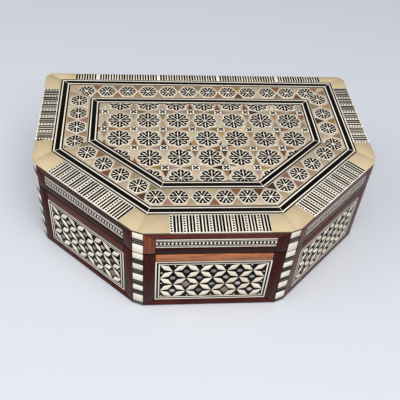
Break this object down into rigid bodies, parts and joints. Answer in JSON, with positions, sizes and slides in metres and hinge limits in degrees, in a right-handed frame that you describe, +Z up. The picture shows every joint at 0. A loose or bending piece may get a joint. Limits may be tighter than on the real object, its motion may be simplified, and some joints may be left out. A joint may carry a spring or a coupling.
{
  "type": "inlaid hinged box",
  "caption": "Six-sided wooden box with a hinged lid, bone, ebony and pearl inlay on the lid and sides, rosewood frames and a velvet lining.",
  "frame": {"origin": "middle of the underside, on the table the box stands on", "axes": "+Z up, -Y towards the short front, +X to the right as seen from the front"},
  "size_m": [0.2, 0.142, 0.063],
  "materials": {
    "carcass_wood": "plain beech, lightly oiled",
    "rosewood": "satin varnish, worn edges",
    "bone": "polished bone",
    "ebony_stringing": "polished ebony and bone lines",
    "mosaic_inlay": "polished bone, ebony, pearl and coloured wood mosaic",
    "velvet": "short pile velvet",
    "base_felt": "pressed felt",
    "brass": "brushed brass, tarnished"
  },
  "bodies": {
    "case": {"case_left_board": "carcass_wood", "case_left_diagonal_board": "carcass_wood", "case_front_board": "carcass_wood", "case_right_diagonal_board": "carcass_wood", "case_right_board": "carcass_wood", "case_back_board": "carcass_wood", "base_board": "carcass_wood", "base_felt": "base_felt", "case_left_frame": "rosewood", "case_left_diagonal_frame": "rosewood", "case_front_frame": "rosewood", "case_right_diagonal_frame": "rosewood", "case_right_frame": "rosewood", "case_back_frame": "rosewood", "case_left_mosaic": "mosaic_inlay", "case_left_diagonal_mosaic": "mosaic_inlay", "case_front_mosaic": "mosaic_inlay", "case_right_diagonal_mosaic": "mosaic_inlay", "case_right_mosaic": "mosaic_inlay", "case_back_mosaic": "mosaic_inlay", "case_back_left_post": "bone", "case_side_left_post": "bone", "case_front_left_post": "bone", "case_front_right_post": "bone", "case_side_right_post": "bone", "case_back_right_post": "bone", "case_floor_pad": "velvet", "case_wall_lining": "velvet", "left_hinge_case_leaf": "brass", "left_hinge_pin": "brass", "right_hinge_case_leaf": "brass", "right_hinge_pin": "brass"},
    "lid": {"lid_top_board": "carcass_wood", "lid_left_board": "carcass_wood", "lid_left_diagonal_board": "carcass_wood", "lid_front_board": "carcass_wood", "lid_right_diagonal_board": "carcass_wood", "lid_right_board": "carcass_wood", "lid_back_board": "carcass_wood", "lid_left_rail": "rosewood", "lid_left_diagonal_rail": "rosewood", "lid_front_rail": "rosewood", "lid_right_diagonal_rail": "rosewood", "lid_right_rail": "rosewood", "lid_back_rail": "rosewood", "lid_back_left_post": "bone", "lid_side_left_post": "bone", "lid_front_left_post": "bone", "lid_front_right_post": "bone", "lid_side_right_post": "bone", "lid_back_right_post": "bone", "lid_ladder_border": "bone", "lid_outer_band": "ebony_stringing", "lid_rosette_border": "mosaic_inlay", "lid_inner_band": "ebony_stringing", "lid_centre_panel": "mosaic_inlay", "lid_lining": "velvet", "left_hinge_lid_leaf": "brass", "right_hinge_lid_leaf": "brass"}
  },
  "joints": [
    {"name": "lid_hinge", "type": "hinge", "parent": "case", "child": "lid", "pos_m": [0, 0.0693, 0.0463], "axis": [-1, 0, 0], "range_deg": [0, 95]}
  ]
}
